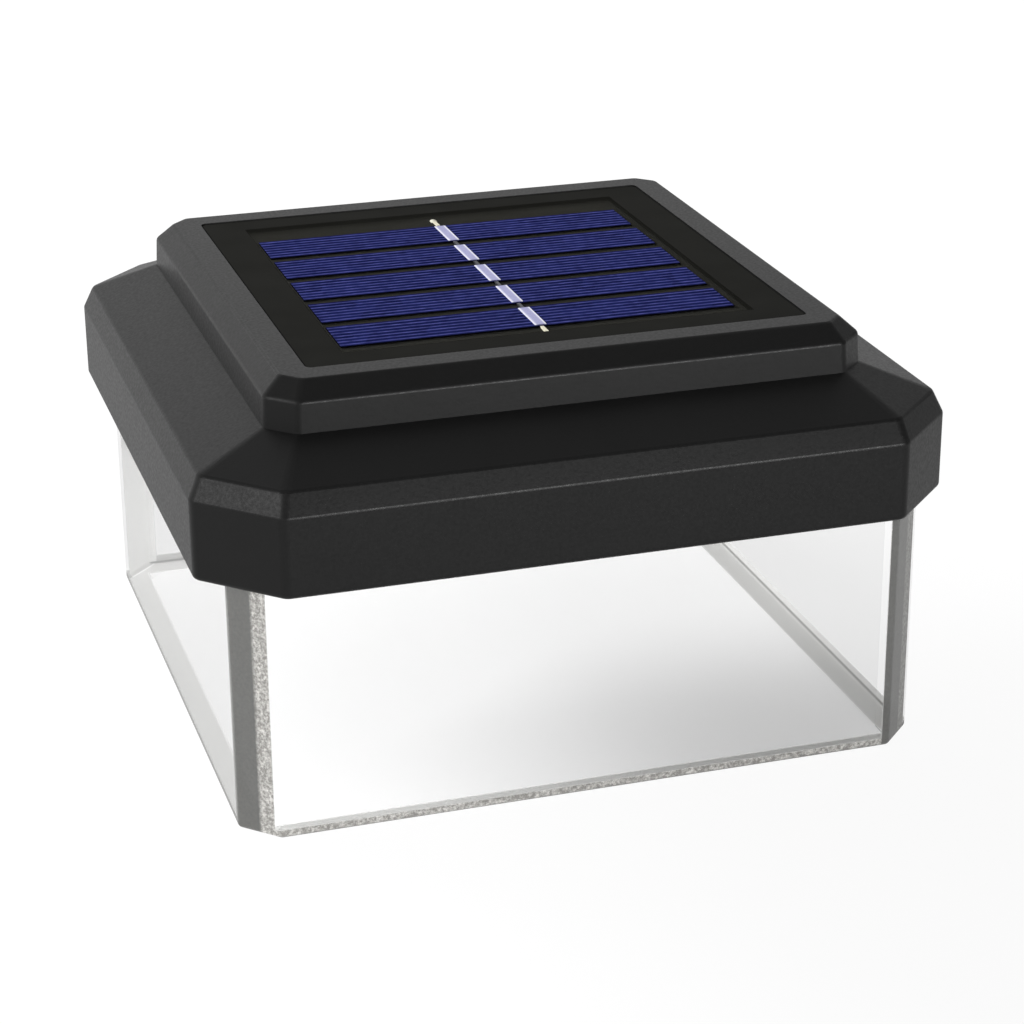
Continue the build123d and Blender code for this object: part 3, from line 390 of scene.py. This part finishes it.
# Floor, studio and camera
def make_floor():
    """Pale board that keeps the light's shadow, and reads as white to the eye; within the skirt it glows
    less, painted shade, and to mirror rays it is painted grey.
    """
    mesh = bpy.data.meshes.new("studio_floor")
    shape = bmesh.new()
    bmesh.ops.create_grid(shape, x_segments=8, y_segments=8, size=FLOOR_HALF)
    shape.to_mesh(mesh)
    shape.free()
    floor = bpy.data.objects.new("studio_floor", mesh)
    floor.location.z = -FLOOR_DROP * MM
    bpy.context.scene.collection.objects.link(floor)
    material = bpy.data.materials.new("painted_board_white")
    material.use_nodes = True
    tree = material.node_tree
    tree.nodes.remove(tree.nodes["Principled BSDF"])
    path = add(tree, "ShaderNodeLightPath")
    camera, glossy, passed = (path.outputs[f"Is {kind} Ray"] for kind in ("Camera", "Glossy", "Transmission"))
    place = add(tree, "ShaderNodeTexCoord").outputs["Object"]
    axes = add(tree, "ShaderNodeSeparateXYZ", {"Vector": place})
    across = add(tree, "ShaderNodeMath", {0: axes.outputs["X"]}, operation="ABSOLUTE")
    along = add(tree, "ShaderNodeMath", {0: axes.outputs["Y"]}, operation="ABSOLUTE")
    out = add(tree, "ShaderNodeMath", {0: across, 1: along}, operation="MAXIMUM")
    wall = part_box("skirt")[1][0]
    # Seen through the skirt, the floor glows white beyond it and less within it: a painted shade under the
    # cap, on top of the real shade it keeps
    white = add(tree, "ShaderNodeMapRange", {"Value": out, "From Min": wall - MM, "From Max": wall,
                                             "To Min": INSIDE_WHITE, "To Max": OUTSIDE_WHITE})
    through = add(tree, "ShaderNodeMath", {0: passed, 1: white}, operation="MULTIPLY")
    # Rays that pass a clear wall count as glossy too, so they are taken off
    mirror = add(tree, "ShaderNodeMath", {0: glossy, 1: passed}, operation="SUBTRACT", use_clamp=True)
    mirrored = add(tree, "ShaderNodeMath", {0: mirror, 1: MIRROR_WHITE}, operation="MULTIPLY")
    bent = add(tree, "ShaderNodeMath", {0: through, 1: mirrored}, operation="MAXIMUM")
    share = add(tree, "ShaderNodeMix", {"Factor": camera, "A": bent, "B": SEEN_WHITE})
    # To mirror rays the floor is painted grey: a painted dimming of what polished faces reflect
    paint = add(tree, "ShaderNodeMix", {"Factor": mirror, "A": linear("#f6f6f6"), "B": linear("#707070")},
                data_type="RGBA")
    matt = add(tree, "ShaderNodeBsdfDiffuse", {"Color": paint})
    glow = add(tree, "ShaderNodeEmission", {"Color": linear("#ffffff"), "Strength": 1.0})
    mixed = add(tree, "ShaderNodeMixShader", {0: share, 1: matt, 2: glow})
    # Clear from below, so that the underside of the light can be looked at
    below = add(tree, "ShaderNodeNewGeometry").outputs["Backfacing"]
    sided = add(tree, "ShaderNodeMixShader", {0: below, 1: mixed, 2: add(tree, "ShaderNodeBsdfTransparent")})
    join(tree, tree.nodes["Material Output"], {"Surface": sided})
    mesh.materials.append(material)


def add_softbox(name, at, size, energy, mirrored):
    """Soft rectangular lamp, turned to the post light; polished faces show it if it is mirrored."""
    lamp = bpy.data.lights.new(name, "AREA")
    lamp.shape = "RECTANGLE"
    lamp.size, lamp.size_y = size
    lamp.energy = energy
    softbox = bpy.data.objects.new(name, lamp)
    softbox.location = Vector(at)
    softbox.rotation_euler = (CAMERA_AIM - softbox.location).to_track_quat("-Z", "Y").to_euler()
    softbox.visible_glossy = mirrored
    softbox.visible_transmission = False
    bpy.context.scene.collection.objects.link(softbox)


def light_studio():
    """Pale walls that darken to the right and the front, a darker ceiling, and the lamps."""
    world = bpy.data.worlds.new("studio")
    bpy.context.scene.world = world
    world.use_nodes = True
    tree = world.node_tree
    way = add(tree, "ShaderNodeTexCoord").outputs["Generated"]
    axes = add(tree, "ShaderNodeSeparateXYZ", {"Vector": way})
    wall = add(tree, "ShaderNodeMapRange", {"Value": axes.outputs["Z"], "From Min": 0.33, "From Max": 0.75,
                                            "To Min": 0.75, "To Max": 0.38})
    turn = add(tree, "ShaderNodeMath", {0: axes.outputs["X"], 1: axes.outputs["Y"]}, operation="SUBTRACT")
    side = add(tree, "ShaderNodeMapRange", {"Value": turn, "From Min": 0.0, "From Max": 1.1,
                                            "To Min": 1.0, "To Max": 0.45})
    both = add(tree, "ShaderNodeMath", {0: wall, 1: side}, operation="MULTIPLY")
    right = add(tree, "ShaderNodeMapRange", {"Value": axes.outputs["X"], "From Min": 0.2, "From Max": 0.9,
                                             "To Min": 1.0, "To Max": 0.5})
    shade = add(tree, "ShaderNodeMath", {0: both, 1: right}, operation="MULTIPLY")
    # White where the camera looks past the floor
    seen = add(tree, "ShaderNodeLightPath").outputs["Is Camera Ray"]
    strength = add(tree, "ShaderNodeMix", {"Factor": seen, "A": shade, "B": 1.0})
    join(tree, tree.nodes["Background"], {"Color": linear("#ffffff"), "Strength": strength})
    for lamp in LAMPS:
        add_softbox(*lamp)


def place_camera():
    """The camera that the photograph was matched with."""
    data = bpy.data.cameras.new("camera")
    data.lens = CAMERA_LENS
    data.sensor_width = SENSOR
    data.clip_start = 0.01
    camera = bpy.data.objects.new("camera", data)
    camera.location = CAMERA_AT
    camera.rotation_euler = (CAMERA_AIM - CAMERA_AT).to_track_quat("-Z", "Y").to_euler()
    camera.rotation_euler.rotate_axis("Z", CAMERA_ROLL)
    bpy.context.scene.collection.objects.link(camera)
    bpy.context.scene.camera = camera


make_floor()
light_studio()
place_camera()
bpy.context.scene.view_settings.view_transform = "Standard"
